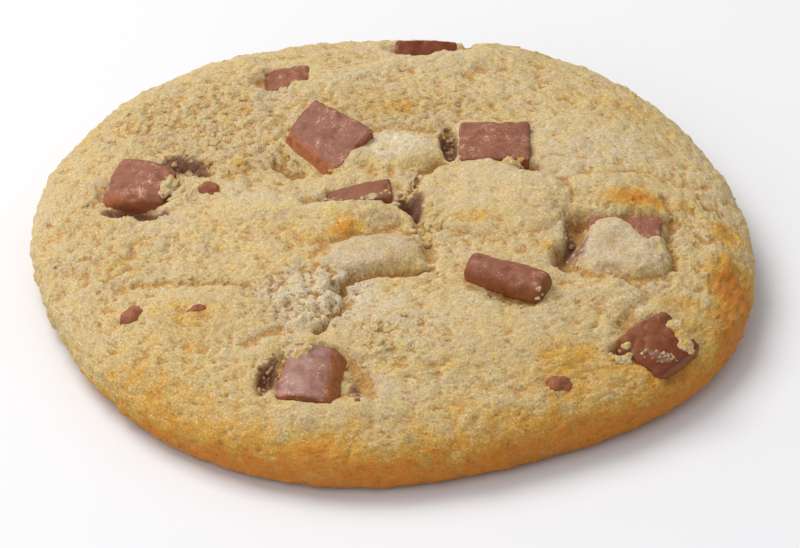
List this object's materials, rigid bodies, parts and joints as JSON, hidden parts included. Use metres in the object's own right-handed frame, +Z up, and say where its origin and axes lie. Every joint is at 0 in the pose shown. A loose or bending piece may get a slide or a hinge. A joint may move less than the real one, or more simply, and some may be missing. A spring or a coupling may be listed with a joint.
{
  "type": "chocolate chunk cookie",
  "caption": "Round baked cookie of pale vanilla dough with milk chocolate chunks and small chips set in its crumbly top, lying flat.",
  "frame": {"origin": "on the resting plane, under the middle of the cookie's box", "axes": "+Z up through the cookie's thickness, +Y towards the far side of the picture, +X to its right"},
  "size_m": [0.0889, 0.0927, 0.0147],
  "materials": {
    "baked_dough": "dry baked dough, pale cream with a golden lower edge",
    "milk_chocolate": "milk chocolate, satin with a faint bloom"
  },
  "bodies": {
    "root": {"dough": "baked_dough", "chunk_left": "milk_chocolate", "chunk_far_left": "milk_chocolate", "chunk_tall": "milk_chocolate", "chunk_sliver": "milk_chocolate", "chunk_square": "milk_chocolate", "chunk_rear": "milk_chocolate", "chunk_lidded": "milk_chocolate", "chunk_front": "milk_chocolate", "chunk_bar": "milk_chocolate", "chunk_rough": "milk_chocolate"}
  },
  "joints": []
}
